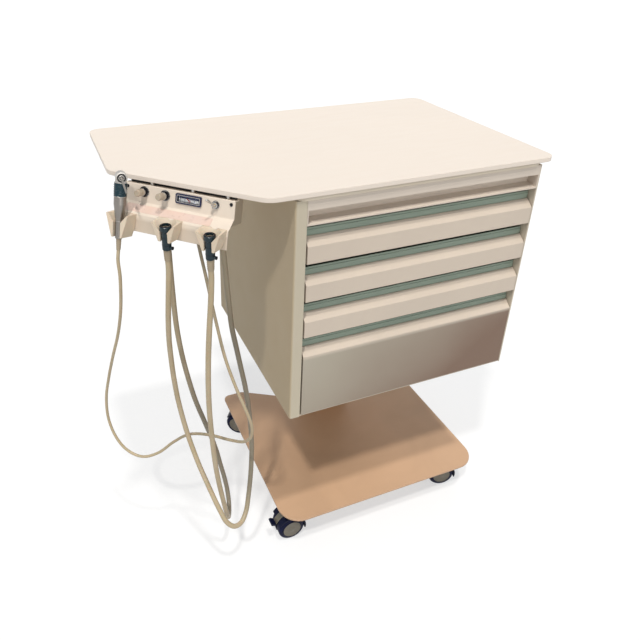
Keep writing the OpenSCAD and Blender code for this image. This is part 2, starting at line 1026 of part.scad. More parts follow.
module gauge_needle() {
    hub_t = 1;
    at_head()
        color("red")
            on_face(gauge_x, needle_z)
                rotate([0, 0, needle_rest])
                    translate([0, 0, -dial_y + joint_gap])
                        difference() {
                            union() {
                                cylinder(r = 1.4, h = hub_t, $fn = 24);
                                translate([-0.4, 0, 0])
                                    cube([0.8, 7, hub_t]);
                            }
                            translate([0, 0, -1])
                                cylinder(r = needle_pin_r + running, h = hub_t + 2, $fn = 24);
                        }
}

// ---------------------------------------------------------------- holders

// Outline of a holder at one height: narrow in front, wide where it meets the apron
module holder_outline(front_w, back_w, z) {
    back = 30;
    translate([0, 0, z])
        linear_extrude(height = holder_rim)
            polygon([
                [-front_w / 2, -holder_reach],
                [front_w / 2, -holder_reach],
                [back_w / 2, back],
                [-back_w / 2, back],
            ]);
}

// Fork-shaped holder: its cheeks flare out to a wide mouth, and the hose passes
// through the slot between them; its back is cut flat where it meets the apron
module holder(k, bore_r, height) {
    bottom = holder_top - height;
    foot_w = 2 * (bore_r + holder_wall);
    rim = mouth_w / 2 - holder_wall;
    notch = 14;
    past = 60;    // further than anything that is cut away
    color("wheat")
        difference() {
            at_holder(k)
                difference() {
                    hull() {
                        holder_outline(mouth_w, mouth_w + 2, holder_top - holder_rim);
                        holder_outline(foot_w, foot_w + 14, bottom);
                    }
                    translate([0, 0, bottom - 1])
                        cylinder(r = bore_r, h = height + 2);
                    translate([0, 0, holder_top + eps])
                        rotate([180, 0, 0])
                            cylinder(r1 = rim, r2 = bore_r, h = funnel_h - 2);
                    // slot, with a notch that opens it to the mouth
                    translate([0, 0, holder_top])
                        rotate([90, 0, 0])
                            linear_extrude(height = 40)
                                polygon([
                                    [-rim, 1],
                                    [-rim, 0],
                                    [-holder_slot / 2, -notch],
                                    [-holder_slot / 2, -height - 1],
                                    [holder_slot / 2, -height - 1],
                                    [holder_slot / 2, -notch],
                                    [rim, 0],
                                    [rim, 1],
                                ]);
                }
            at_head()
                box_between(
                    [head_left - past, -apron_step, holder_top - past],
                    [head_right + past, past, holder_top + past]
                );
        }
}

module holder_left() {
    holder(0, syringe_r + holder_play, syringe_holder_h);
}

module holder_middle() {
    holder(1, coupler_r + holder_play, holder_h);
}

module holder_right() {
    holder(2, coupler_r + holder_play, holder_h);
}

// Handpiece coupler: a seating ring, an open socket, a slim body and a side lug
module coupler(k) {
    bore_r = coupler_r + holder_play;
    rim = mouth_w / 2 - holder_wall;
    seat = (funnel_h - 2) * (rim - ring_r) / (rim - bore_r);
    lug_r = 3;
    at_holder(k)
        color("darkslategray") {
            translate([0, 0, coupler_bottom + lug_r + 1.5])
                rotate([0, 90, 0])
                    cylinder(r = lug_r, h = coupler_r + 4);
            rotate_extrude()
                polygon([
                    [0, coupler_bottom],
                    [coupler_r - 1.5, coupler_bottom],
                    [coupler_r, coupler_bottom + 1.5],
                    [coupler_r, holder_top - funnel_h + 2 + joint_gap],
                    [ring_r, holder_top - seat + joint_gap],
                    [ring_r, coupler_top - 1],
                    [ring_r - 1, coupler_top],
                    [socket_r, coupler_top],
                    [socket_r, coupler_top - socket_depth],
                    [0, coupler_top - socket_depth],
                ]);
        }
}

module coupler_middle() {
    coupler(1);
}

module coupler_right() {
    coupler(2);
}

// ---------------------------------------------------------------- syringe

module syringe_handle() {
    at_holder(0)
        color("gray")
            rotate_extrude()
                polygon(rounded([
                    [0, syringe_bottom, 0],
                    [syringe_r, syringe_bottom, 1.5],
                    [syringe_r, syringe_neck, 12],
                    [collar_r - 0.3, syringe_top - 14, 12],
                    [collar_r - 0.3, syringe_top, 0],
                    [0, syringe_top, 0],
                ]));
}

module syringe_collar() {
    at_holder(0)
        color("teal")
            translate([0, 0, syringe_top])
                cylinder(r = collar_r, h = collar_h);
}

module syringe_head() {
    neck = syringe_top + collar_h;
    at_holder(0)
        color("silver")
            difference() {
                union() {
                    translate([0, 0, neck])
                        cylinder(r = collar_r - 1.5, h = syringe_head_r);
                    translate([0, 0, neck + syringe_head_r])
                        rotate([0, 0, nozzle_turn])
                            rotate([90, 0, 0])
                                cylinder(r = syringe_head_r, h = 20, center = true);
                }
                translate([0, 0, neck + syringe_head_r])
                    rotate([0, 0, nozzle_turn]) {
                        rotate([90, 0, 0])
                            cylinder(r = nozzle_r + running, h = 30);
                        for (z = [-4.4, 4.4])
                            translate([0, 0, z])
                                rotate([-90, 0, 0])
                                    translate([0, 0, 4])
                                        cylinder(r = button_r + running, h = 20);
                    }
            }
}

// Slim nozzle: a short run out of the head, then a straight tip that dips
module syringe_nozzle() {
    neck = syringe_top + collar_h;
    at_holder(0)
        color("silver")
            translate([0, 0, neck + syringe_head_r])
                rotate([0, 0, nozzle_turn])
                    rotate([90, 0, 0])
                        cylinder(r = nozzle_r, h = nozzle_run);
    at_holder(0)
        color("silver")
            translate([nozzle_run * sin(nozzle_turn), -nozzle_run * cos(nozzle_turn), neck + syringe_head_r]) {
                sphere(r = nozzle_r + 0.3);
                rotate([0, 0, tip_turn])
                    rotate([90 + tip_dip, 0, 0])
                        cylinder(r1 = nozzle_r, r2 = 1.5, h = tip_len);
            }
}

module syringe_button(z) {
    neck = syringe_top + collar_h;
    at_holder(0)
        color("dimgray")
            translate([0, 0, neck + syringe_head_r])
                rotate([0, 0, nozzle_turn])
                    translate([0, 0, z])
                        rotate([-90, 0, 0])
                            translate([0, 0, 4 + button_travel + joint_gap])
                                cylinder(r = button_r, h = 7);
}

module syringe_button_air() {
    syringe_button(4.4);
}

module syringe_button_water() {
    syringe_button(-4.4);
}

// ---------------------------------------------------------------- hoses

// A point of the head's frame, given in the cabinet's frame
function from_head(p) =
    let (
        out = p.y * cos(head_tilt) + p.z * sin(head_tilt),
        up = -p.y * sin(head_tilt) + p.z * cos(head_tilt),
        c = sqrt(0.5)
    )
    [cut_mid.x + c * (p.x + out), cut_mid.y + c * (out - p.x), head_top + up];

// A point of a holder's frame, whose Z is counted as the head's is
function holder_point(k, p) =
    let (
        a = holder_lean[k],
        z = p.z - holder_top
    )
    from_head([
        holder_x[k] + p.x,
        holder_y + p.y * cos(a) - z * sin(a),
        holder_top + p.y * sin(a) + z * cos(a)
    ]);

instrument_bottom = [syringe_bottom, coupler_bottom, coupler_bottom];
hose_tops = [for (k = [0:2]) holder_point(k, [0, 0, instrument_bottom[k] - relief_len])];
hose_starts = [
    for (k = [0:2]) holder_point(k, [0, 0, -1]) - holder_point(k, [0, 0, 0])
];
hose_ends = [
    for (x = barb_x) from_head([x, barb_y, -panel_t - housing_h - barb_len])
];
head_down = from_head([0, 0, -1]) - from_head([0, 0, 0]);

// Routes between the two ends, from the instrument to the connector
syringe_route = [
    [-521, 126, 680],
    [-525, 138, 612],
    [-533, 160, 545],
    [-545, 190, 475],
    [-556, 218, 405],
    [-565, 233, 345],
    [-567, 234, 288],
    [-558, 222, 243],
    [-540, 201, 217],
    [-512, 178, 209],
    [-480, 158, 228],
    [-450, 142, 262],
    [-420, 121, 292],
    [-387, 90, 307],
    [-354, 52, 316],
    [-336, 25, 330],
    [-327, 8, 354],
    [-326, 3, 384],
    [-334, 7, 418],
    [-348, 22, 465],
    [-362, 42, 525],
    [-371, 64, 595],
    [-379, 84, 670]
];
middle_route = [
    [-448, 80, 670],
    [-451, 86, 612],
    [-451, 96, 555],
    [-448, 106, 500],
    [-444, 113, 445],
    [-438, 115, 385],
    [-428, 106, 315],
    [-416, 83, 255],
    [-404, 58, 210],
    [-394, 38, 176],
    [-387, 24, 155],
    [-379, 14, 135],
    [-364, 10, 119],
    [-345, 18, 114],
    [-329, 33, 126],
    [-318, 49, 150],
    [-310, 60, 182],
    [-304, 69, 220],
    [-300, 77, 263],
    [-300, 83, 308],
    [-303, 86, 355],
    [-309, 87, 408],
    [-318, 86, 460],
    [-327, 83, 510],
    [-337, 78, 565],
    [-344, 71, 625],
    [-350, 66, 690]
];
right_route = [
    [-391, 21, 665],
    [-396, 20, 610],
    [-400, 20, 550],
    [-402, 21, 485],
    [-401, 24, 420],
    [-397, 28, 350],
    [-392, 33, 285],
    [-385, 37, 225],
    [-377, 41, 172],
    [-370, 46, 130],
    [-364, 55, 100],
    [-357, 70, 77],
    [-349, 91, 68],
    [-343, 112, 76],
    [-342, 127, 100],
    [-346, 133, 132],
    [-352, 135, 165],
    [-360, 136, 210],
    [-371, 136, 257],
    [-384, 135, 305],
    [-400, 132, 365],
    [-413, 129, 430],
    [-423, 128, 495],
    [-429, 129, 560],
    [-431, 131, 630],
    [-431, 136, 695]
];

function hose_path(k, route) =
    concat(
        [hose_tops[k], hose_tops[k] + hose_starts[k] * 20],
        route,
        [hose_ends[k] + head_down * 16, hose_ends[k]]
    );

// Tube swept along a smooth curve through the points, its first end square to start
module hose(path, d, start, sides = 8, per_span = 3) {
    n = len(path);
    ends = concat([2 * path[0] - path[1]], path, [2 * path[n - 1] - path[n - 2]]);
    centres = concat(
        [for (i = [1:n - 1], s = [0:per_span - 1])
            let (t = s / per_span, a = ends[i - 1], b = ends[i], c = ends[i + 1], e = ends[i + 2])
            0.5 * (2 * b + (c - a) * t + (2 * a - 5 * b + 4 * c - e) * t * t
                + (3 * b - a - 3 * c + e) * t * t * t)],
        [path[n - 1]]
    );
    m = len(centres);
    rings = [
        for (i = [0:m - 1])
            let (
                way = i == 0 ? start
                    : i == m - 1 ? -head_down
                    : unit(centres[i + 1] - centres[i - 1]),
                across = unit(cross(way, [1, -1, 0.001])),
                over = cross(way, across)
            )
            [for (j = [0:sides - 1])
                centres[i] + d / 2 * (across * cos(j * 360 / sides) + over * sin(j * 360 / sides))]
    ];
    polyhedron(
        points = [for (r = rings) each r],
        faces = concat(
            [[for (j = [0:sides - 1]) j]],
            [for (i = [0:m - 2], j = [0:sides - 1])
                each [
                    [i * sides + j, (i + 1) * sides + j, i * sides + (j + 1) % sides],
                    [i * sides + (j + 1) % sides, (i + 1) * sides + j, (i + 1) * sides + (j + 1) % sides],
                ]],
            [[for (j = [sides - 1:-1:0]) (m - 1) * sides + j]]
        )
    );
}

module hose_syringe() {
    from_origin()
        color("darkkhaki")
            hose(hose_path(0, syringe_route), thin_hose_d, hose_starts[0]);
}

module hose_middle() {
    from_origin()
        color("tan")
            hose(hose_path(1, middle_route), thick_hose_d, hose_starts[1]);
}

module hose_right() {
    from_origin()
        color("tan")
            hose(hose_path(2, right_route), thick_hose_d, hose_starts[2]);
}

// Tapered sleeves where the hoses leave the instruments
module hose_reliefs() {
    color("dimgray")
        for (k = [0:2]) {
            hose_r = (k == 0 ? thin_hose_d : thick_hose_d) / 2;
            at_holder(k)
                translate([0, 0, instrument_bottom[k] - relief_len])
                    cylinder(r1 = hose_r + 0.6, r2 = hose_r + 1.4, h = relief_len);
        }
}

// Connectors that the hoses push onto under the housing
module hose_barbs() {
    at_head()
        color("silver")
            for (k = [0:2])
                translate([barb_x[k], barb_y, -panel_t - housing_h - barb_len]) {
                    cylinder(r = (k == 0 ? thin_hose_d : thick_hose_d) / 2 + 1, h = 10);
                    translate([0, 0, 10])
                        cylinder(r = 7, h = barb_len - 10, $fn = 6);
                    translate([0, 0, barb_len])
                        cylinder(r = 4 - running, h = housing_t);
                }
}

// Air and water inlets on the back panel
module supply_inlets() {
    from_origin()
        color("goldenrod")
            for (x = [-30, 30])
                translate([x, cabinet_d, cabinet_bottom + 60])
                    rotate([-90, 0, 0])
                        difference() {
                            union() {
                                cylinder(r = 10, h = 5, $fn = 6);
                                cylinder(r = 6, h = 20);
                            }
                            translate([0, 0, 8])
                                cylinder(r = 3, h = 20);
                        }
}

// ---------------------------------------------------------------- nodes

base_plate();
column();
bottom_panel();
side_panel_left();
side_panel_right();
back_panel();
header_panel();
top_plate();
worktop();
runner_channels();
runner_posts();
caster_plates();
caster_hood(0);  // caster_fl_hood
caster_hood(1);  // caster_fr_hood
caster_hood(2);  // caster_bl_hood
caster_hood(3);  // caster_br_hood
caster_wheels(0);  // caster_fl_wheels
caster_wheels(1);  // caster_fr_wheels
caster_wheels(2);  // caster_bl_wheels
caster_wheels(3);  // caster_br_wheels
caster_brake(0);  // caster_fl_brake
caster_brake(1);  // caster_fr_brake
drawer_front(0);  // drawer_1_front
drawer_front(1);  // drawer_2_front
drawer_front(2);  // drawer_3_front
drawer_front(3);  // drawer_4_front
drawer_box(0);  // drawer_1_box
drawer_box(1);  // drawer_2_box
drawer_box(2);  // drawer_3_box
drawer_box(3);  // drawer_4_box
head_panel();
head_housing();
head_spacers();
panel_screws();
gauge_case();
gauge_dial();
gauge_lens();
gauge_needle();
valve_nuts();
valve_block();
knob_air();
knob_water();
toggle_lever();
holder_left();
holder_middle();
holder_right();
coupler_middle();
coupler_right();
syringe_handle();
syringe_collar();
syringe_head();
syringe_nozzle();
syringe_button_air();
syringe_button_water();
hose_reliefs();
hose_barbs();
hose_syringe();
hose_middle();
hose_right();
supply_inlets();
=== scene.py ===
"""Portable dental unit: finishes, hoses, small details, light and camera.

The CAD model brings the shapes.  This script gives them their materials, lays
the three hoses as smooth curves and adds the details that are too fine for CAD.
Sizes are millimetres in the CAD model's own frames, unless a line says metres.
"""
import json
import math

import bpy
import bmesh
from mathutils import Matrix, Vector


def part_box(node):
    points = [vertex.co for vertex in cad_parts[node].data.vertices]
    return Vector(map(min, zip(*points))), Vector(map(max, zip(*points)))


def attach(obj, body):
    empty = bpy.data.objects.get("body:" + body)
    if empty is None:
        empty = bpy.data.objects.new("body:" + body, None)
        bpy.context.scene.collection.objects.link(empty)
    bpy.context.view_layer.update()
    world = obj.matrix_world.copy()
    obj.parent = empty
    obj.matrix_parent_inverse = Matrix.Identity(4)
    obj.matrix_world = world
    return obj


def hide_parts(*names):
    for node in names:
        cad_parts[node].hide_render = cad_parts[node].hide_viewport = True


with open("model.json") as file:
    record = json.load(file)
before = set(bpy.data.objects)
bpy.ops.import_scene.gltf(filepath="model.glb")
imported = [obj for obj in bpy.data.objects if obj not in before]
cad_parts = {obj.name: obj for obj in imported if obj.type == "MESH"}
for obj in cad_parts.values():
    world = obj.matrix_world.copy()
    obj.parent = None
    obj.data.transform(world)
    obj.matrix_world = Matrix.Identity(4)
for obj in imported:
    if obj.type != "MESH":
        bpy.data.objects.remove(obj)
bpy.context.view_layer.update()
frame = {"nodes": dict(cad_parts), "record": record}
scene = bpy.context.scene

# ------------------------------------------------------------------ frames

# The base plate's front left corner ties the cabinet's frame to the row's
CABINET_HALF = 250
CABINET_D = 430
base_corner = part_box("base_plate")[0]
ORIGIN = Vector((base_corner.x * 1000 + CABINET_HALF, base_corner.y * 1000, 0))


def move(x, y, z):
    return Matrix.Translation((x, y, z))


def turn(degrees, axis):
    return Matrix.Rotation(math.radians(degrees), 4, axis)


# Each frame takes millimetres and gives metres in the row's frame
CABINET = Matrix.Scale(0.001, 4) @ Matrix.Translation(ORIGIN)
HEAD_TILT = 13
# Upright frame under the middle of the worktop's cut edge, and the head that leans from it
HEAD_TOP = CABINET @ move(-404.5, 103.5, 834) @ turn(-45, "Z")
HEAD = HEAD_TOP @ turn(-HEAD_TILT, "X")
RIM = -48                     # height of the holders' mouths, in the head's frame
HOLDER_X = (-100, -12, 69)
HOLDER_LEAN = (0, HEAD_TILT, HEAD_TILT)
HOLDERS = [
    HEAD @ move(x, -36, RIM) @ turn(lean, "X") @ move(0, 0, -RIM)
    for x, lean in zip(HOLDER_X, HOLDER_LEAN)
]
# Where each caster's pin stands in the cabinet's frame, and how far the caster is turned
CASTERS = {
    "fl": (-203, 46, 0),
    "fr": (203, 46, -15),
    "bl": (-203, 378, -40),
    "br": (203, 378, -20),
}
CASTER_TRAIL = 22
AXLE_Z = 30
WHEEL_GAP = 8
WHEEL_W = 18
TYRE_R = 30

# The control face, in the head's frame
CONTROL_ROW = -12             # height of the knobs, the gauge and the toggle
KNOBS = {"air": -77, "water": -36}
GAUGE_X = 9
TOGGLE_X = 58.5
STEP_SLOPE = 48.18            # degrees that the step under the controls leans out

DRAWER_TOPS = (787.5, 711.5, 635.5, 559.5)
PULL_H = 39                   # from a drawer's top down to its flat face


def caster(name):
    """Frame of a caster on the floor under its pin; its wheels trail along -X."""
    x, y, angle = CASTERS[name]
    return CABINET @ move(x, y, 0) @ turn(angle, "Z")


def wheel(name, side):
    """Frame of one wheel: its Z runs outwards from the wheel's inner face."""
    return caster(name) @ move(-CASTER_TRAIL, side * WHEEL_GAP / 2, AXLE_Z) @ turn(-90 * side, "X")


def on_face(x, z):
    """Frame on the control face, with Z pointing out of it."""
    return HEAD @ move(x, 0, z) @ turn(90, "X")


# --------------------------------------------------------------- materials

class Graph:
    """A material's nodes, from left to right."""

    def __init__(self, name):
        self.material = bpy.data.materials.new(name)
        self.material.use_nodes = True
        self.tree = self.material.node_tree
        self.shader = self.tree.nodes["Principled BSDF"]
        coords = self.tree.nodes.new("ShaderNodeTexCoord")
        self.place = coords.outputs["Object"]

    def add(self, kind, inputs=(), **settings):
        node = self.tree.nodes.new("ShaderNode" + kind)
        for key, value in settings.items():
            setattr(node, key, value)
        for key, value in dict(inputs).items():
            if isinstance(value, bpy.types.NodeSocket):
                self.tree.links.new(value, node.inputs[key])
            else:
                node.inputs[key].default_value = value
        return node

    def set(self, **values):
        for key, value in values.items():
            self.shader.inputs[key.replace("_", " ")].default_value = value

    def link(self, output, key):
        self.tree.links.new(output, self.shader.inputs[key])

    def stretched(self, scale):
        node = self.add("Mapping", {"Vector": self.place, "Scale": scale})
        return node.outputs["Vector"]

    def noise(self, scale, detail=3.0, vector=None, distortion=0.0):
        node = self.add("TexNoise", {
            "Vector": vector or self.place,
            "Scale": scale,
            "Detail": detail,
            "Distortion": distortion,
        })
        return node.outputs["Fac"]

    def ranged(self, value, low, high, source=(0.3, 0.7)):
        node = self.add("MapRange", {
            "Value": value,
            "From Min": source[0],
            "From Max": source[1],
            "To Min": low,
            "To Max": high,
        })
        return node.outputs["Result"]

    def blend(self, factor, first, second):
        node = self.add("Mix", {0: factor, 6: first, 7: second}, data_type="RGBA")
        return node.outputs[2]

    def calc(self, operation, *values):
        return self.add("Math", enumerate(values), operation=operation).outputs[0]

    def axis(self, vector, name):
        return self.add("SeparateXYZ", {0: vector}).outputs[name]

    def normal(self):
        return self.add("NewGeometry").outputs["Normal"]

    def rounded(self, radius):
        """A normal that rounds the edges."""
        return self.add("Bevel", {"Radius": radius}, samples=6).outputs[0]

    def rims(self, rounded):
        """A mask that is 1 along the edges that the normal rounds."""
        dot = self.add("VectorMath", {0: rounded, 1: self.normal()}, operation="DOT_PRODUCT")
        return self.ranged(dot.outputs["Value"], 1, 0, (0.80, 0.995))

    def bump(self, height, distance, normal=None):
        inputs = {"Height": height, "Distance": distance}
        if normal is not None:
            inputs["Normal"] = normal
        return self.add("Bump", inputs).outputs["Normal"]


def rgb(colour, factor=1.0):
    return tuple(min(1.0, c * factor) for c in colour) + (1.0,)


def tinted(colour, tint):
    return rgb([c * t for c, t in zip(colour, tint)])


STREAK_TINT = (0.955, 0.935, 0.90)
SHADE_BROWN_TINT = (0.32, 0.235, 0.195)
SHADE_BROWN_SLANT = -0.7            # metres that the painted brown shade climbs for each metre to the right
SHADE_BROWN_HEIGHTS = (0.22, 0.60)


def painted(name, colour, rough, radius=0.0012, coat=0.0, drift=0.05, worn=1.06,
            streaks=None, painted_shade=None, left_face_shade=None, gloss=0.5):
    """Powder coat: orange-peel grain, faint clouding, and edges worn a little lighter.

    streaks is the coordinate scale of long soft marks in the coat.  soiled gives the two
    heights in metres between which painted shade sets in as a duller tone, and that tone;
    low down on the right the painted shade goes brown.  left_face_shade is the painted shade on
    faces that look to the left.
    """
    g = Graph(name)
    normal = g.rounded(radius)
    clouds = g.ranged(g.noise(7, 4, distortion=0.6), 0, 1)
    body = g.blend(clouds, rgb(colour, 1 - drift), rgb(colour, 1 + drift * 0.6))
    if streaks:
        marks = g.ranged(g.noise(1, 2, g.stretched(streaks), 0.3), 0, 1, (0.35, 0.65))
        body = g.blend(marks, body, tinted(colour, STREAK_TINT))
    # Painted shade: a duller tone below the given heights, turning brown low down on the right.
    if painted_shade:
        start, full, shade_tone = painted_shade
        z = g.axis(g.place, "Z")
        slant = g.calc("MULTIPLY_ADD", g.axis(g.place, "X"), SHADE_BROWN_SLANT, z)
        height = g.calc("ADD", slant, g.ranged(g.noise(5, 3), -0.03, 0.03))
        below = g.ranged(z, 1, 0, (full, start))
        brown_shade = g.calc("MULTIPLY", g.ranged(height, 1, 0, SHADE_BROWN_HEIGHTS), below)
        shaded_body = g.blend(below, body, tinted(colour, shade_tone))
        body = g.blend(brown_shade, shaded_body, tinted(colour, SHADE_BROWN_TINT))
    # Painted shade on faces that look to the left.
    if left_face_shade:
        facing = g.axis(g.normal(), "X")
        body = g.blend(g.ranged(facing, 1, 0, (-0.9, -0.4)), body, rgb(left_face_shade))
    rubbed = g.ranged(g.noise(60, 3), 0.2, 0.9)
    wear = g.calc("MULTIPLY", g.rims(normal), rubbed)
    g.link(g.blend(wear, body, rgb(colour, worn)), "Base Color")
    g.link(g.ranged(g.noise(22, 4), rough - 0.05, rough + 0.06), "Roughness")
    g.link(g.bump(g.noise(240, 1), 0.00003, normal), "Normal")
    g.set(Coat_Weight=coat, Coat_Roughness=0.18, Specular_IOR_Level=gloss)
    return g.material


def moulded(name, colour, rough, radius=0.0006, scatter=0.0, drift=0.05, gloss=0.5):
    """Moulded plastic: a fine even texture, slight yellowing, softened edges."""
    g = Graph(name)
    tone_shift = g.ranged(g.noise(26, 4), 0, 1)
    g.link(g.blend(tone_shift, rgb(colour), tinted(colour, (1 + drift, 1, 1 - drift))), "Base Color")
    g.link(g.ranged(g.noise(140, 3), rough - 0.05, rough + 0.07), "Roughness")
    g.link(g.bump(g.noise(500, 1), 0.00002, g.rounded(radius)), "Normal")
    g.set(Subsurface_Weight=scatter, Subsurface_Scale=0.002, Specular_IOR_Level=gloss)
    return g.material


def metal(name, colour, rough, grain=(1, 1, 1), drift=0.12):
    """Bare metal: fine drawn or brushed lines, faint tarnish."""
    g = Graph(name)
    lines = g.noise(700, 2, g.stretched(grain))
    tarnish = g.ranged(g.noise(45, 4), 0, 1)
    g.link(g.blend(tarnish, rgb(colour, 1 - drift), rgb(colour)), "Base Color")
    g.link(g.ranged(lines, rough - 0.06, rough + 0.10), "Roughness")
    g.link(g.bump(lines, 0.00001, g.rounded(0.0004)), "Normal")
    g.set(Metallic=1.0)
    return g.material


def laminate(name, colour):
    """The worktop's compact laminate: a satin skin with a faint speckle and wipe marks."""
    g = Graph(name)
    normal = g.rounded(0.0016)
    speckle = g.ranged(g.noise(230, 2), 0, 1)
    cloud = g.ranged(g.noise(3, 3, distortion=0.8), 0, 1)
    clouded = g.blend(cloud, rgb(colour, 0.975), rgb(colour, 1.01))
    flecked = g.blend(speckle, rgb(colour, 0.985), rgb(colour, 1.01))
    body = g.blend(0.5, clouded, flecked)
    g.link(g.blend(g.rims(normal), body, tinted(colour, (1, 0.985, 0.96))), "Base Color")
    wiped = g.noise(14, 3, g.stretched((1, 5, 1)))
    g.link(g.ranged(wiped, 0.36, 0.50), "Roughness")
    g.link(g.bump(speckle, 0.00002, normal), "Normal")
    return g.material


def rubber(name, colour, rough, drift=0.25):
    """Moulded rubber with a dusty bloom."""
    g = Graph(name)
    dust = g.ranged(g.noise(38, 5), 0, 1, (0.45, 0.75))
    g.link(g.blend(dust, rgb(colour), rgb(colour, 1 + drift)), "Base Color")
    g.link(g.ranged(g.noise(90, 3), rough - 0.08, rough + 0.08), "Roughness")
    g.link(g.bump(g.noise(600, 3), 0.00006, g.rounded(0.0008)), "Normal")
    g.set(Specular_IOR_Level=0.14)
    return g.material


def silicone(name, colour, tone_shift, sheen):
    """Hose: satin silicone, with painted shade on the strands that run up behind the control face.
    """
    g = Graph(name)
    dirt = g.ranged(g.noise(16, 5, distortion=0.4), 0, 1)
    fresh = g.blend(dirt, rgb(colour), tinted(colour, (0.86, 0.84, 0.78)))
    # Painted shade: the strands behind the control face take the darker tone.
    backwards = HEAD.to_3x3() @ Vector((0, 1, 0))
    backwards = Vector((backwards.x, backwards.y, 0)).normalized()
    face = backwards.dot(HEAD.to_translation())
    offset = g.add("VectorMath", {0: g.place, 1: backwards}, operation="DOT_PRODUCT")
    behind = g.ranged(offset.outputs["Value"], 0, 1, (face - 0.020, face + 0.030))
    g.link(g.blend(behind, fresh, rgb(tone_shift)), "Base Color")
    g.link(g.ranged(g.noise(120, 3), 0.34, 0.50), "Roughness")
    g.link(g.bump(g.noise(300, 1), 0.00003), "Normal")
    g.set(Sheen_Weight=sheen, Sheen_Roughness=0.4, Subsurface_Weight=0.08, Subsurface_Scale=0.002)
    return g.material


def window(name):
    """Clear acrylic over the gauge, with a few hairline scratches in its gloss."""
    g = Graph(name)
    g.link(g.ranged(g.noise(300, 4, g.stretched((1, 1, 8))), 0.0, 0.03), "Roughness")
    g.set(Base_Color=(0.97, 0.98, 1.0, 1.0), Transmission_Weight=1.0, IOR=1.08)
    return g.material


CREAM = (0.79, 0.69, 0.585)
MATERIALS = {
    "worktop_laminate": laminate("worktop laminate", (0.82, 0.73, 0.645)),
    "cabinet_coat": painted("cabinet coat", (0.63, 0.56, 0.46), 0.34, 0.0010, coat=0.06,
                            streaks=(9, 9, 1.1), gloss=0.2),
    "drawer_coat": painted("drawer coat", (0.64, 0.55, 0.46), 0.36, 0.0012, coat=0.1, gloss=0.3),
    "box_coat": painted("drawer box coat", (0.275, 0.345, 0.28), 0.50, 0.0010, drift=0.08),
    "stand_coat": painted("stand coat", (0.56, 0.36, 0.225), 0.42, 0.0018, drift=0.08),
    "zinc": metal("zinc plate", (0.62, 0.62, 0.60), 0.38, (1, 12, 1), drift=0.2),
    "caster_steel": metal("dark zinc", (0.30, 0.30, 0.31), 0.42, drift=0.3),
    "hood_plastic": moulded("black plastic", (0.002, 0.004, 0.022), 0.42, drift=0.0, gloss=0.14),
    "tyre_rubber": rubber("tyre rubber", (0.001, 0.003, 0.026), 0.46),
    "head_coat": painted("head coat", CREAM, 0.40, 0.0014, coat=0.1),
    "bright_steel": metal("satin steel", (0.50, 0.485, 0.46), 0.24, (1, 1, 6), drift=0.15),
    "screw_black": metal("black steel", (0.022, 0.022, 0.03), 0.30, drift=0.3),
    "gauge_plastic": moulded("navy plastic", (0.007, 0.010, 0.050), 0.24, drift=0.0, gloss=0.35),
    "dial_white": moulded("printed white", (0.86, 0.86, 0.83), 0.50, drift=0.02),
    "gauge_window": window("gauge window"),
    "needle_red": moulded("red lacquer", (0.40, 0.022, 0.016), 0.35, drift=0.0),
    "valve_brass": metal("machined brass", (0.72, 0.50, 0.22), 0.26, (1, 1, 8), drift=0.2),
    "knob_plastic": moulded("beige plastic", (0.46, 0.395, 0.31), 0.30, scatter=0.05),
    "holder_plastic": moulded("cream plastic", (0.70, 0.60, 0.475), 0.34, 0.0009, scatter=0.05),
    "coupler_metal": painted("slate coat", (0.007, 0.022, 0.031), 0.28, 0.0005, coat=0.1, worn=2.2,
                             gloss=0.3),
    "handle_grey": metal("satin grey", (0.27, 0.25, 0.23), 0.30, (6, 6, 1), drift=0.12),
    "collar_teal": moulded("teal plastic", (0.003, 0.030, 0.045), 0.24, drift=0.0, gloss=0.35),
    "button_grey": moulded("button grey", (0.10, 0.10, 0.11), 0.40, drift=0.02),
    "relief_rubber": rubber("sleeve rubber", (0.40, 0.33, 0.24), 0.46, drift=0.1),
    "hose_silicone": silicone("hose silicone", (0.50, 0.41, 0.275), (0.22, 0.19, 0.14), 0.05),
}
# Nodes whose coat differs in tone from the rest of their slot; for the left side panel, the
# control face, the housing and the deep drawer the difference is painted shade
NODE_COATS = {
    # The left side panel's faces that look to the left carry painted shade.
    "side_panel_left": painted("side coat", (0.585, 0.53, 0.425), 0.50, 0.0010,
                               streaks=(9, 9, 1.1), left_face_shade=(0.53, 0.435, 0.30), gloss=0.05),
    # The control face's coat turns darker below the step: painted shade on the apron.
    "head_panel": painted("control face coat", CREAM, 0.40, 0.0014, coat=0.1,
                          painted_shade=(0.787, 0.781, (0.76, 0.74, 0.71))),
    # The housing's darker coat is painted shade.
    "head_housing": painted("housing coat in painted shade", (0.42, 0.36, 0.28), 0.42, 0.0012, gloss=0.2),
    "syringe_head": metal("head steel", (0.40, 0.38, 0.35), 0.28, (1, 1, 6), drift=0.15),
    "header_panel": painted("header coat", (0.66, 0.58, 0.50), 0.34, 0.0010, coat=0.1, gloss=0.3),
    # The deep drawer's front turns duller and then brown towards its lower right: painted shade.
    "drawer_4_front": painted("deep drawer coat", (0.64, 0.55, 0.46), 0.34, 0.0012, coat=0.1,
                              painted_shade=(0.520, 0.512, (0.73, 0.78, 0.76)), gloss=0.3),
    "syringe_nozzle": metal("nozzle steel", (0.30, 0.28, 0.255), 0.30, (1, 1, 6), drift=0.15),
}
# Grey of the hub discs, also used for the painted highlight strips on the hoods.
HUB_AND_HIGHLIGHT_GREY = moulded("hub and highlight grey", (0.135, 0.125, 0.098), 0.40, drift=0.08)
LABEL = moulded("bare label film", (0.74, 0.58, 0.51), 0.30, 0.0002, drift=0.06)
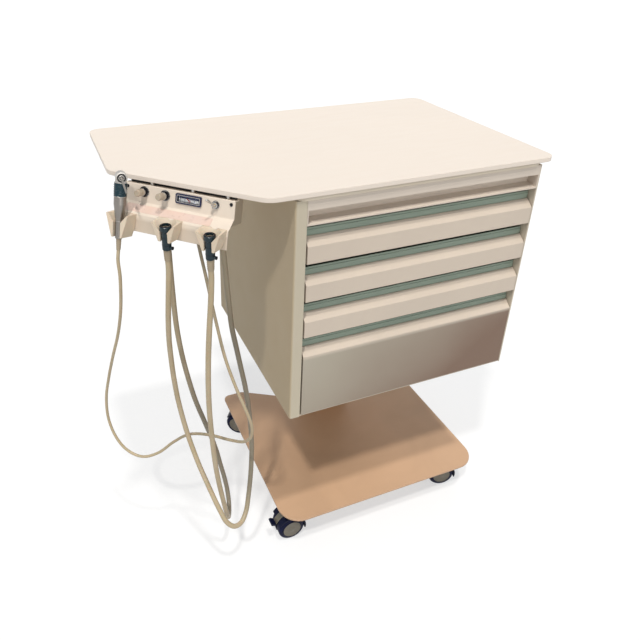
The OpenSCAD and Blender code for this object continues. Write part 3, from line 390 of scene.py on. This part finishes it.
# Dark print on the dial, also used for the painted shade across its top.
DIAL_INK_AND_SHADE = moulded("dial ink and shade", (0.02, 0.03, 0.09), 0.50, 0.0001, drift=0.0)
SOCKET_BLACK = moulded("socket black", (0.010, 0.010, 0.012), 0.55, drift=0.0)

for part in frame["record"]["subparts"]:
    node = frame["nodes"][part["node"]]
    for place in node.material_slots:
        place.material = NODE_COATS.get(part["node"], MATERIALS[part["material_slot"]])


# ----------------------------------------------------------------- details

SHARP_ANGLE = 32              # degrees from which an edge stays crisp


class Piece:
    """One detail, built up from turned and flat shapes given in local frames."""

    def __init__(self, name, body, slot, material):
        self.name = name
        self.body = body
        self.slot = slot
        self.material = material
        self.mesh = bmesh.new()

    def point(self, place, x, y, z):
        return self.mesh.verts.new(place @ Vector((x, y, z)))

    def bridge(self, rings, closed=True):
        """Join each row of points to the next with four-sided faces."""
        for below, above in zip(rings, rings[1:]):
            count = len(below)
            for i in range(count if closed else count - 1):
                j = (i + 1) % count
                self.mesh.faces.new((below[i], below[j], above[j], above[i]))

    def turned(self, place, profile, steps=48):
        """Revolve (radius, height) points about Z; a radius of 0 closes the end."""
        rings = []
        for radius, height in profile:
            count = steps if radius > 0 else 1
            angles = [2 * math.pi * i / steps for i in range(count)]
            rings.append([
                self.point(place, radius * math.cos(a), radius * math.sin(a), height)
                for a in angles
            ])
        for below, above in zip(rings, rings[1:]):
            for i in range(steps):
                j = (i + 1) % steps
                corners = [below[i % len(below)], below[j % len(below)],
                           above[j % len(above)], above[i % len(above)]]
                unique = list(dict.fromkeys(corners))
                if len(unique) > 2:
                    self.mesh.faces.new(unique)

    def torus(self, place, radius, thickness, steps, sides):
        """A round ring in the XY plane."""
        around = [2 * math.pi * i / steps for i in range(steps)]
        across = [2 * math.pi * k / sides for k in range(sides)]
        grid = [
            [
                self.point(
                    place,
                    (radius + thickness * math.cos(v)) * math.cos(u),
                    (radius + thickness * math.cos(v)) * math.sin(u),
                    thickness * math.sin(v),
                )
                for v in across
            ]
            for u in around
        ]
        for i in range(steps):
            for k in range(sides):
                i2, k2 = (i + 1) % steps, (k + 1) % sides
                self.mesh.faces.new((grid[i][k], grid[i2][k], grid[i2][k2], grid[i][k2]))

    def plate(self, place, outline, low, high, chamfer=0.0):
        """A flat shape between two heights, its top edge drawn in by a chamfer."""
        centre = Vector((sum(p[0] for p in outline), sum(p[1] for p in outline))) / len(outline)
        levels = [(low, 0.0), (high - chamfer, 0.0)]
        if chamfer:
            levels.append((high, chamfer))
        rings = []
        for height, inset in levels:
            ring = []
            for x, y in outline:
                way = Vector((x, y)) - centre
                spot = centre + way * (1 - inset / max(way.length, 0.001))
                ring.append(self.point(place, spot.x, spot.y, height))
            rings.append(ring)
        self.bridge(rings)
        self.mesh.faces.new(rings[0][::-1])
        self.mesh.faces.new(rings[-1])

    def lettering(self, place, text, size, thickness):
        """Plain numerals, centred on the frame."""
        curve = bpy.data.curves.new("numeral", "FONT")
        curve.body = text
        curve.size = size
        curve.extrude = thickness / 2
        curve.align_x = "CENTER"
        curve.align_y = "CENTER"
        holder = bpy.data.objects.new("numeral", curve)
        scene.collection.objects.link(holder)
        bpy.context.view_layer.update()
        mesh = bpy.data.meshes.new_from_object(holder)
        bpy.data.objects.remove(holder)
        mesh.transform(place)
        self.mesh.from_mesh(mesh)
        bpy.data.meshes.remove(mesh)

    def done(self):
        bmesh.ops.recalc_face_normals(self.mesh, faces=self.mesh.faces)
        data = bpy.data.meshes.new(self.name)
        self.mesh.to_mesh(data)
        self.mesh.free()
        data.polygons.foreach_set("use_smooth", [True] * len(data.polygons))
        data.set_sharp_from_angle(angle=math.radians(SHARP_ANGLE))
        data.materials.append(self.material)
        obj = bpy.data.objects.new(self.name, data)
        scene.collection.objects.link(obj)
        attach(obj, self.body)


def rounded_box(x0, y0, x1, y1, radius, steps=6):
    """Outline of a rectangle with rounded corners."""
    corners = ((x1 - radius, y1 - radius, 0), (x0 + radius, y1 - radius, 90),
               (x0 + radius, y0 + radius, 180), (x1 - radius, y0 + radius, 270))
    points = []
    for cx, cy, start in corners:
        for i in range(steps + 1):
            angle = math.radians(start + 90 * i / steps)
            points.append((cx + radius * math.cos(angle), cy + radius * math.sin(angle)))
    return points


def caster_hubs():
    """Hub disc on each wheel, with a dished face and a centre cap, in a raised black ring."""
    face = WHEEL_W + 0.5
    for name in CASTERS:
        body = f"caster_{name}_wheels"
        hubs = Piece(f"hubs_{name}", body, "handle_grey", HUB_AND_HIGHLIGHT_GREY)
        for side in (-1, 1):
            hubs.turned(wheel(name, side), [
                (0, face + 1.0), (4.5, face + 0.9), (5.4, face + 0.5), (6.0, face + 0.15),
                (13, face + 0.3), (19.0, face + 0.35), (19.5, face + 0.9), (20.3, face + 0.95),
                (20.7, face + 0.3),
            ], 64)
        hubs.done()
        rings = Piece(f"hub_rings_{name}", body, "hood_plastic", MATERIALS["hood_plastic"])
        for side in (-1, 1):
            rings.turned(wheel(name, side), [
                (20.2, face + 0.2), (20.8, face + 0.75), (22.6, face + 0.75), (23.8, face + 0.1),
                (23.9, face - 0.7),
            ], 64)
        rings.done()


def caster_treads():
    """Two shallow bands round each tyre."""
    low = TYRE_R - 0.4
    for name in CASTERS:
        body = f"caster_{name}_wheels"
        bands = Piece(f"treads_{name}", body, "tyre_rubber", MATERIALS["tyre_rubber"])
        for side in (-1, 1):
            for height in (5.0, 10.5):
                bands.turned(wheel(name, side), [
                    (low, height - 1.6), (TYRE_R, height - 1.2),
                    (TYRE_R, height + 1.2), (low, height + 1.6),
                ], 96)
        bands.done()


def caster_hood_highlights():
    """Grey strip let into the top of each hood, between the two wheels, as a painted highlight."""
    angles = [math.radians(112 + 46 * i / 12) for i in range(13)]
    for name in CASTERS:
        cap = Piece(f"hood_highlight_{name}", f"caster_{name}", "handle_grey", HUB_AND_HIGHLIGHT_GREY)
        axle = caster(name) @ move(-CASTER_TRAIL, 0, AXLE_Z)
        cap.bridge([
            [cap.point(axle, radius * math.cos(a), y, radius * math.sin(a)) for a in angles]
            for radius, y in ((34.0, 7.6), (34.5, 7.0), (34.5, -7.0), (34.0, -7.6))
        ], closed=False)
        cap.done()


def control_trim():
    """Washers under the nuts, collars on the stems, and a ring, cap and mark on each knob."""
    steel = MATERIALS["bright_steel"]
    trim = Piece("control_trim", "root", "bright_steel", steel)
    for x, radius in ((KNOBS["air"], 9.6), (KNOBS["water"], 9.6), (TOGGLE_X, 7.4)):
        place = on_face(x, CONTROL_ROW)
        trim.turned(place, [
            (radius - 3, 0.05), (radius - 0.4, 0.05), (radius, 0.4), (radius - 0.3, 0.8),
            (radius - 3, 0.9),
        ])
        trim.turned(place, [(3.1, 4.9), (5.2, 4.9), (5.4, 5.15), (3.1, 5.15)])
    trim.done()
    for name, x in KNOBS.items():
        place = on_face(x, CONTROL_ROW)
        ring = Piece(f"knob_ring_{name}", f"knob_{name}", "bright_steel", steel)
        ring.turned(place, [
            (5.0, 6.0), (6.35, 6.1), (6.5, 6.5), (6.5, 8.0), (6.35, 8.4), (5.9, 8.5),
        ])
        ring.done()
        cap = Piece(f"knob_cap_{name}", f"knob_{name}", "knob_plastic", MATERIALS["knob_plastic"])
        cap.turned(place, [
            (0, 23.0), (2.6, 23.0), (3.2, 23.35), (4.0, 23.6), (4.6, 23.45), (4.8, 23.1),
        ])
        pointer = rounded_box(-0.35, 0.8, 0.35, 4.4, 0.3, 3)
        cap.plate(place @ move(0, 0, 23.2), pointer, 0, 0.35)
        cap.done()


def panel_fixings():
    """Hexagon recess in each panel screw."""
    recess = Piece("screw_recesses", "root", "screw_black", SOCKET_BLACK)
    corners = [math.radians(60 * i) for i in range(6)]
    hexagon = [(1.3 * math.cos(a), 1.3 * math.sin(a)) for a in corners]
    for x in (-110.5, 86):
        recess.plate(on_face(x, -7), hexagon, 1.4, 1.84)
    recess.done()


def head_gasket():
    """Black strip that closes the slit between the worktop and the head, behind the spacers."""
    strip = Piece("head_gasket", "root", "screw_black", SOCKET_BLACK)
    strip.plate(HEAD_TOP, rounded_box(-112, 11, 90, 14, 1.0, 3), -3.5, 5.8, 0.3)
    strip.done()


def label_strip():
    """Bare film strip on the sloped step, where a label sits."""
    slope = HEAD @ move(0, -9.5, -39.5) @ turn(90 - STEP_SLOPE, "X")
    strip = Piece("label_strip", "root", "head_coat", LABEL)
    strip.plate(slope, rounded_box(-106, -8.2, 58, 7.6, 2.0), 0.02, 0.25, 0.08)
    strip.done()


def gauge_scale():
    """Scale and numerals on the dial, a dark band across its top that is partly print and partly
    painted shade, and a thin bright frame round the window.
    """
    dial = HEAD @ move(GAUGE_X, 2.9, -15.3) @ turn(90, "X")
    marks = Piece("gauge_marks", "root", "dial_white", DIAL_INK_AND_SHADE)
    # Dark band over the top of the dial: partly dark print, partly painted shade under the
    # window's frame.
    marks.plate(dial, rounded_box(-20, 3.4, 20, 8.0, 0.4, 2), 0, 0.1)
    numerals = ("0", "2", "4", "6", "8")
    ticks = 6                 # from one numeral to the next
    scale_start, scale_step = -18, 1.5
    for i in range(ticks * (len(numerals) - 1) + 1):
        x = scale_start + scale_step * i
        half, drop = (0.34, 2.4) if i % ticks == 0 else (0.20, 1.5)
        marks.plate(dial, rounded_box(x - half, 3.5 - drop, x + half, 3.6, 0.05, 1), 0, 0.12)
    for i, text in enumerate(numerals):
        x = scale_start + scale_step * ticks * i
        marks.lettering(dial @ move(x, -0.3, 0.06), text, 2.6, 0.1)
    marks.done()
    bezel = Piece("gauge_bezel_line", "root", "bright_steel", MATERIALS["bright_steel"])
    face = on_face(GAUGE_X, CONTROL_ROW)
    outer = rounded_box(-21.6, -6.1, 21.6, 6.1, 1.4)
    inner = rounded_box(-20.7, -5.2, 20.7, 5.2, 0.8)
    bezel.bridge([
        [bezel.point(face, x, y, z) for x, y in line]
        for line, z in ((outer, 3.02), (outer, 3.25), (inner, 3.25), (inner, 2.2))
    ])
    bezel.done()


def syringe_details():
    """Bright bezel and dark socket in the head's face, rings on the collar, ribs on the grip."""
    head = HOLDERS[0] @ move(0, 0, 13.5) @ turn(40, "Z") @ turn(90, "X")
    bezel = Piece("syringe_bezel", "root", "bright_steel", MATERIALS["bright_steel"])
    bezel.turned(head, [
        (9.2, 9.6), (9.7, 9.9), (9.7, 11.2), (9.1, 11.9), (8.0, 12.1), (7.1, 11.7), (6.9, 10.6),
        (6.9, 10.0),
    ])
    bezel.torus(head @ move(0, 0, 12.2), 4.0, 0.8, 40, 10)
    bezel.turned(HOLDERS[0] @ move(0, 0, 4.0), [(9.4, -0.3), (10.4, 0.1), (10.5, 0.9), (9.6, 1.5)])
    bezel.done()
    socket = Piece("syringe_socket", "root", "button_grey", SOCKET_BLACK)
    socket.turned(head, [(2.1, 10.9), (3.3, 10.9), (3.4, 10.2), (6.9, 10.15), (6.9, 10.05)])
    socket.done()
    rings = Piece("syringe_rings", "root", "bright_steel", MATERIALS["bright_steel"])
    for height, radius in ((-18.4, 10.85), (-60.5, 6.9)):
        rings.torus(HOLDERS[0] @ move(0, 0, height), radius - 0.25, 0.45, 48, 10)
    rings.done()
    ribs = Piece("syringe_grip", "root", "collar_teal", MATERIALS["collar_teal"])
    for i in range(5):
        ribs.torus(HOLDERS[0] @ move(0, 0, -14 + 3.6 * i), 10.7, 0.5, 56, 10)
    ribs.done()


def coupler_details():
    """Dark steel rim and rings on each coupler, seals in its socket, and a cap on its lug."""
    for k, name in ((1, "middle"), (2, "right")):
        top = HOLDERS[k] @ move(0, 0, -53)
        rim = Piece(f"coupler_rim_{name}", "root", "screw_black", MATERIALS["screw_black"])
        rim.turned(top, [(6.05, -0.6), (6.05, 0.2), (6.5, 0.45), (8.9, 0.45), (9.3, 0.1)])
        for height in (-20, -34):
            rim.torus(top @ move(0, 0, height), 7.75, 0.35, 48, 8)
        lug = HOLDERS[k] @ move(0, 0, -92.5) @ turn(90, "Y")
        rim.turned(lug, [(0, 12.4), (1.6, 12.35), (2.4, 12.1), (3.05, 11.6), (3.05, 10.8)], 32)
        rim.done()
        rubber_ring = MATERIALS["relief_rubber"]
        inside = Piece(f"coupler_seal_{name}", "root", "relief_rubber", rubber_ring)
        inside.torus(top @ move(0, 0, -4), 5.7, 0.45, 40, 8)
        inside.torus(top @ move(0, 0, -15), 3.2, 0.6, 32, 8)
        inside.done()


def sleeve_ribs():
    """Rings on the sleeves where the hoses leave the instruments."""
    ribs = Piece("sleeve_ribs", "root", "relief_rubber", MATERIALS["relief_rubber"])
    for place, (_, _, diameter, bottom, _) in zip(HOLDERS, HOSES):
        for i in range(5):
            drop = 2 + 3.6 * i
            radius = diameter / 2 + 0.6 + 0.8 * (SLEEVE - drop) / SLEEVE
            ribs.torus(place @ move(0, 0, bottom - drop), radius, 0.35, 32, 8)
    ribs.done()


def back_rivets():
    """Domed rivets round the back panel."""
    rivets = Piece("back_rivets", "root", "zinc", MATERIALS["zinc"])
    dome = [(0, 1.1), (1.2, 0.95), (2.1, 0.5), (2.5, 0.0)]
    spots = [(x, z) for z in (395, 818) for x in (-230, -115, 0, 115, 230)]
    spots += [(x, z) for z in (500, 605, 710) for x in (-238, 238)]
    for x, z in spots:
        rivets.turned(CABINET @ move(x, CABINET_D, z) @ turn(-90, "X"), dome, 24)
    rivets.done()


def drawer_lips():
    """Folded sheet lip that raises the front wall of each drawer box to its gap."""
    profile = [(16.2, -18.6), (16.2, -16.0), (16.6, -15.3), (17.8, -14.9), (17.8, -12.6),
               (17.2, -12.2), (16.9, -11.6), (17.3, -10.9), (18.1, -10.7), (18.9, -11.1),
               (19.0, -12.0), (19.0, -18.6)]
    for i, top in enumerate(DRAWER_TOPS):
        lip = Piece(f"lip_{i + 1}", f"drawer_{i + 1}", "box_coat", MATERIALS["box_coat"])
        ends = [[lip.point(CABINET, x, y, top + z) for y, z in profile] for x in (-226, 245.8)]
        lip.bridge(ends)
        lip.mesh.faces.new(ends[0][::-1])
        lip.mesh.faces.new(ends[1])
        lip.done()


def drawer_stops():
    """Small rubber buffers behind the ends of each drawer face."""
    soft = MATERIALS["relief_rubber"]
    for i, top in enumerate(DRAWER_TOPS):
        buffers = Piece(f"buffers_{i + 1}", f"drawer_{i + 1}", "relief_rubber", soft)
        for x in (-222, 242):
            place = CABINET @ move(x, 18.4, top - PULL_H - 22) @ turn(-90, "X")
            buffers.turned(place, [(3.2, 0), (3.2, 1.2), (2.6, 1.8), (0, 2.0)], 24)
        buffers.done()


# ------------------------------------------------------------------- hoses

SYRINGE_ROUTE = [
    (-521, 126, 680), (-525, 138, 612), (-533, 160, 545), (-545, 190, 475), (-556, 218, 405),
    (-565, 233, 345), (-567, 234, 288), (-558, 222, 243), (-540, 201, 217), (-512, 178, 209),
    (-480, 158, 228), (-450, 142, 262), (-420, 121, 292), (-387, 90, 307), (-354, 52, 316),
    (-336, 25, 330), (-327, 8, 354), (-326, 3, 384), (-334, 7, 418), (-348, 22, 465),
    (-362, 42, 525), (-371, 64, 595), (-379, 84, 670),
]
MIDDLE_ROUTE = [
    (-448, 80, 670), (-451, 86, 612), (-451, 96, 555), (-448, 106, 500), (-444, 113, 445),
    (-438, 115, 385), (-428, 106, 315), (-416, 83, 255), (-404, 58, 210), (-394, 38, 176),
    (-387, 24, 155), (-379, 14, 135), (-364, 10, 119), (-345, 18, 114), (-329, 33, 126),
    (-318, 49, 150), (-310, 60, 182), (-304, 69, 220), (-300, 77, 263), (-300, 83, 308),
    (-303, 86, 355), (-309, 87, 408), (-318, 86, 460), (-327, 83, 510), (-337, 78, 565),
    (-344, 71, 625), (-350, 66, 690),
]
RIGHT_ROUTE = [
    (-391, 21, 665), (-396, 20, 610), (-400, 20, 550), (-402, 21, 485), (-401, 24, 420),
    (-397, 28, 350), (-392, 33, 285), (-385, 37, 225), (-377, 41, 172), (-370, 46, 130),
    (-364, 55, 100), (-357, 70, 77), (-349, 91, 68), (-343, 112, 76), (-342, 127, 100),
    (-346, 133, 132), (-352, 135, 165), (-360, 136, 210), (-371, 136, 257), (-384, 135, 305),
    (-400, 132, 365), (-413, 129, 430), (-423, 128, 495), (-429, 129, 560), (-431, 131, 630),
    (-431, 136, 695),
]
SLEEVE = 20                   # length of the sleeve where a hose leaves its instrument
# Node, route, diameter, height of the instrument's end in its holder, connector's place
HOSES = [
    ("hose_syringe", SYRINGE_ROUTE, 6, -91, 14),
    ("hose_middle", MIDDLE_ROUTE, 10, -97, 63),
    ("hose_right", RIGHT_ROUTE, 10, -97, -45),
]


def hose(k):
    """A smooth curve from the instrument's sleeve to the connector under the housing."""
    node, route, diameter, bottom, barb_x = HOSES[k]
    start = HOLDERS[k] @ Vector((0, 0, bottom - SLEEVE))
    below = HOLDERS[k] @ Vector((0, 0, bottom - SLEEVE - 20))
    finish = HEAD @ Vector((barb_x, 26, -62))
    under = HEAD @ Vector((barb_x, 26, -78))
    points = [start, below] + [CABINET @ Vector(p) for p in route] + [under, finish]
    padded = [2 * points[0] - points[1]] + points + [2 * points[-1] - points[-2]]
    pulls = [(after - before) / 6 for before, after in zip(padded, padded[2:])]
    curve = bpy.data.curves.new(node, "CURVE")
    curve.dimensions = "3D"
    curve.bevel_depth = diameter / 2000
    curve.bevel_resolution = 8
    curve.resolution_u = 10
    spline = curve.splines.new("BEZIER")
    spline.bezier_points.add(len(points) - 1)
    for spot, point, pull in zip(spline.bezier_points, points, pulls):
        spot.co = point
        spot.handle_left_type = spot.handle_right_type = "FREE"
        spot.handle_left = point - pull
        spot.handle_right = point + pull
    curve.materials.append(MATERIALS["hose_silicone"])
    obj = bpy.data.objects.new(f"{node}_curve", curve)
    scene.collection.objects.link(obj)
    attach(obj, "root")
    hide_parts(node)


for index in range(len(HOSES)):
    hose(index)
caster_hubs()
caster_treads()
caster_hood_highlights()
control_trim()
panel_fixings()
head_gasket()
label_strip()
gauge_scale()
syringe_details()
coupler_details()
sleeve_ribs()
back_rivets()
drawer_lips()
drawer_stops()


# ------------------------------------------------------- floor, light, camera

def seen(tree):
    """1 for what the camera sees straight, in a gloss or through a window, else 0."""
    path = tree.nodes.new("ShaderNodeLightPath")
    total = path.outputs["Is Camera Ray"]
    for name in ("Is Glossy Ray", "Is Transmission Ray"):
        either = tree.nodes.new("ShaderNodeMath")
        either.operation = "MAXIMUM"
        tree.links.new(total, either.inputs[0])
        tree.links.new(path.outputs[name], either.inputs[1])
        total = either.outputs[0]
    return total


def floor():
    """A wide floor, plain white as a backdrop, that keeps a soft shadow of the object."""
    g = Graph("pale floor")
    shown = seen(g.tree)
    g.link(g.blend(shown, (0.62, 0.62, 0.62, 1), (0.40, 0.404, 0.412, 1)), "Base Color")
    g.link(g.ranged(shown, 0, 0.58, (0, 1)), "Emission Strength")
    g.set(Roughness=0.9, Emission_Color=(1, 1, 1, 1))
    bpy.ops.mesh.primitive_plane_add(size=60, location=(0, 20, 0))
    plane = bpy.context.object
    plane.name = "floor"
    plane.data.materials.append(g.material)


def sun(name, direction, strength, spread, colour, glossy=True):
    """A far lamp in that direction, spread over so many degrees of the sky."""
    data = bpy.data.lights.new(name, "SUN")
    data.energy = strength
    data.angle = math.radians(spread)
    data.color = colour
    lamp = bpy.data.objects.new(name, data)
    lamp.rotation_euler = (-Vector(direction)).to_track_quat("-Z", "Y").to_euler()
    lamp.visible_glossy = glossy
    scene.collection.objects.link(lamp)


def studio():
    """Soft even light, and a white backdrop that only the camera, gloss and glass see."""
    world = bpy.data.worlds.new("studio")
    world.use_nodes = True
    tree = world.node_tree
    light = tree.nodes["Background"]
    light.inputs["Color"].default_value = (0.88, 0.94, 1.0, 1)
    light.inputs["Strength"].default_value = 0.34
    backdrop = tree.nodes.new("ShaderNodeBackground")
    backdrop.inputs["Color"].default_value = (0.96, 0.965, 0.97, 1)
    both = tree.nodes.new("ShaderNodeMixShader")
    tree.links.new(seen(tree), both.inputs[0])
    tree.links.new(light.outputs[0], both.inputs[1])
    tree.links.new(backdrop.outputs[0], both.inputs[2])
    tree.links.new(both.outputs[0], tree.nodes["World Output"].inputs["Surface"])
    scene.world = world
    # The two ceiling lamps whose shadow edges lie across the base plate
    warm = (1.0, 0.965, 0.91)
    sun("ceiling left", (-0.38, -0.39, 1.0), 1.36, 4, warm)
    sun("ceiling front", (0.02, -0.23, 1.0), 1.12, 4, warm)
    sun("front", (-0.04, -1.0, 0.25), 0.62, 30, (1.0, 0.96, 0.91))
    sun("back fill", (0.35, 1.0, 0.35), 0.50, 40, (1.0, 0.97, 0.93), glossy=False)
    scene.view_settings.view_transform = "Standard"


def camera():
    """Camera at the photograph's viewpoint, worked out from the cabinet's straight edges."""
    right = Vector((0.92824, -0.37185, 0.01014))
    down = Vector((-0.16293, -0.43091, -0.88756))
    ahead = Vector((0.33441, 0.82222, -0.46057))
    image, focal = 640, 626.0                 # pixels
    centre_x, centre_y = 272.0, 245.7
    data = bpy.data.cameras.new("camera")
    data.sensor_width = 36
    data.lens = focal / image * 36
    data.shift_x = 0.5 - centre_x / image
    data.shift_y = centre_y / image - 0.5
    data.clip_end = 200
    obj = bpy.data.objects.new("camera", data)
    obj.matrix_world = Matrix.Translation(CABINET @ Vector((-629.6, -833.3, 1230.6))) @ Matrix(
        (right, -down, -ahead)).transposed().to_4x4()
    scene.collection.objects.link(obj)
    scene.camera = obj


floor()
studio()
camera()
